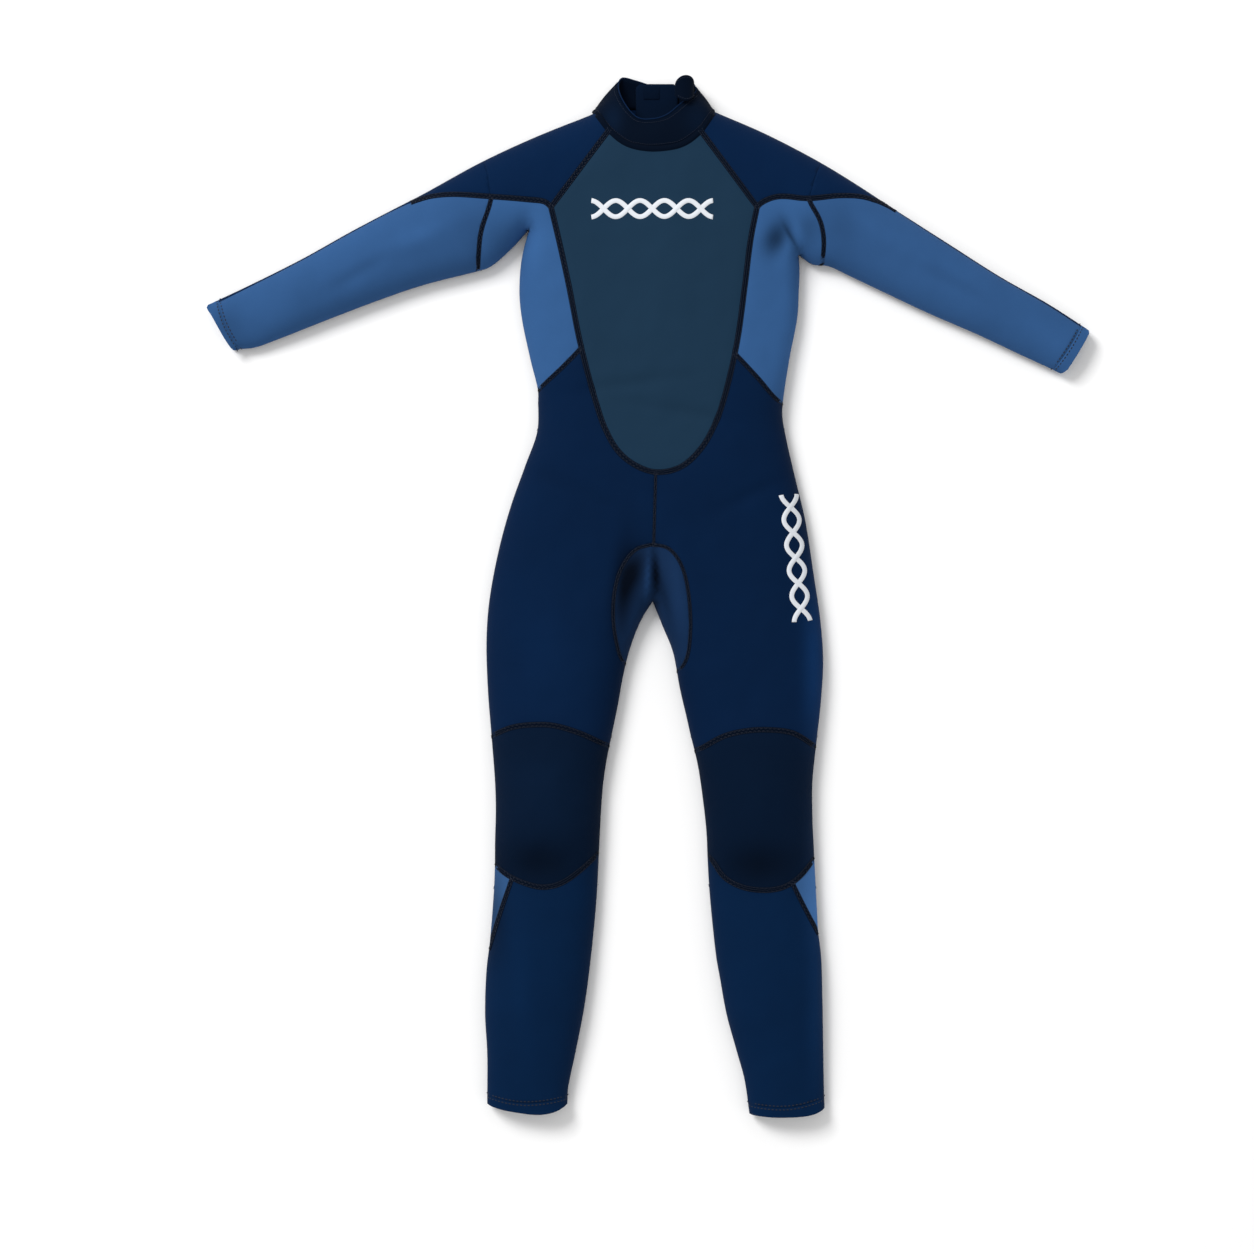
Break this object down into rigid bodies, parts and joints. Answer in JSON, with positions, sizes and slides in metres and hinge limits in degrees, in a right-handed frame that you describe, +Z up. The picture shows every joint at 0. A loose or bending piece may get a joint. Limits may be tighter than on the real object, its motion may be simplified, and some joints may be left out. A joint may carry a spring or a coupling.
{
  "type": "full wetsuit",
  "caption": "Long-sleeved, full-length neoprene wetsuit laid flat, with raglan shoulders, padded knees, a back zip and a collar closure tab.",
  "frame": {"origin": "middle of the suit's footprint, on the surface that it lies on", "axes": "+X towards the wearer's left, +Y towards the collar, +Z up from the surface, out of the suit's front"},
  "size_m": [1.236, 1.439, 0.0592],
  "materials": {
    "navy_neoprene": "matt jersey-faced neoprene",
    "blue_neoprene": "matt jersey-faced neoprene",
    "slate_neoprene": "smooth-skin mesh neoprene",
    "dark_neoprene": "textured abrasion-resistant neoprene",
    "zip_plastic": "moulded coil",
    "zip_tape": "woven tape",
    "hook_and_loop": "hook and loop pile",
    "zip_metal": "satin",
    "white_print": "screen print"
  },
  "bodies": {
    "suit_body": {"chest_panel": "slate_neoprene", "crotch_gusset": "dark_neoprene", "collar_band": "dark_neoprene", "right_shoulder_panel": "navy_neoprene", "right_side_panel": "blue_neoprene", "right_hip_panel": "navy_neoprene", "right_knee_pad": "dark_neoprene", "right_knee_back": "navy_neoprene", "right_upper_back": "navy_neoprene", "right_seat_panel": "navy_neoprene", "right_zip_tape": "zip_tape", "right_zip_teeth": "zip_plastic", "left_shoulder_panel": "navy_neoprene", "left_side_panel": "blue_neoprene", "left_hip_panel": "navy_neoprene", "left_knee_pad": "dark_neoprene", "left_knee_back": "navy_neoprene", "left_upper_back": "navy_neoprene", "left_seat_panel": "navy_neoprene", "left_zip_tape": "zip_tape", "left_zip_teeth": "zip_plastic", "zip_bottom_stop": "zip_metal", "zip_top_stop": "zip_metal", "zip_guard_flap": "navy_neoprene", "loop_patch": "hook_and_loop", "chest_print": "white_print", "thigh_print": "white_print"},
    "right_sleeve": {"right_sleeve_front": "blue_neoprene", "right_sleeve_back": "navy_neoprene", "right_wrist_hem": "blue_neoprene"},
    "left_sleeve": {"left_sleeve_front": "blue_neoprene", "left_sleeve_back": "navy_neoprene", "left_wrist_hem": "blue_neoprene"},
    "right_lower_leg": {"right_calf_panel": "blue_neoprene", "right_shin_panel": "navy_neoprene", "right_calf_back": "navy_neoprene", "right_ankle_hem": "navy_neoprene"},
    "left_lower_leg": {"left_calf_panel": "blue_neoprene", "left_shin_panel": "navy_neoprene", "left_calf_back": "navy_neoprene", "left_ankle_hem": "navy_neoprene"},
    "collar_tab": {"collar_tab": "dark_neoprene", "hook_patch": "hook_and_loop"},
    "zip_slider": {"zip_slider": "zip_metal"},
    "zip_pull": {"zip_pull": "zip_metal"}
  },
  "joints": [
    {"name": "right_sleeve_fold", "type": "hinge", "parent": "suit_body", "child": "right_sleeve", "pos_m": [-0.23774, 0.53367, 0.054], "axis": [-0.1262, 0.992, 0], "range_deg": [0, 120]},
    {"name": "left_sleeve_fold", "type": "hinge", "parent": "suit_body", "child": "left_sleeve", "pos_m": [0.25036, 0.52982, 0.054], "axis": [-0.2121, -0.9772, 0], "range_deg": [0, 120]},
    {"name": "right_leg_fold", "type": "hinge", "parent": "suit_body", "child": "right_lower_leg", "pos_m": [-0.14446, -0.4065, 0.044], "axis": [-1, 0, 0], "range_deg": [0, 120]},
    {"name": "left_leg_fold", "type": "hinge", "parent": "suit_body", "child": "left_lower_leg", "pos_m": [0.15854, -0.4065, 0.044], "axis": [-1, 0, 0], "range_deg": [0, 120]},
    {"name": "collar_tab_hinge", "type": "hinge", "parent": "suit_body", "child": "collar_tab", "pos_m": [0.05104, 0.6895, 0.013], "axis": [0, -1, 0], "range_deg": [0, 45]},
    {"name": "zip_slide", "type": "slide", "parent": "suit_body", "child": "zip_slider", "axis": [0, -1, 0], "range_m": [0, 0.4]},
    {"name": "zip_pull_hinge", "type": "hinge", "parent": "zip_slider", "child": "zip_pull", "pos_m": [0.00704, 0.6475, 0.0009], "axis": [1, 0, 0], "range_deg": [0, 170]}
  ]
}
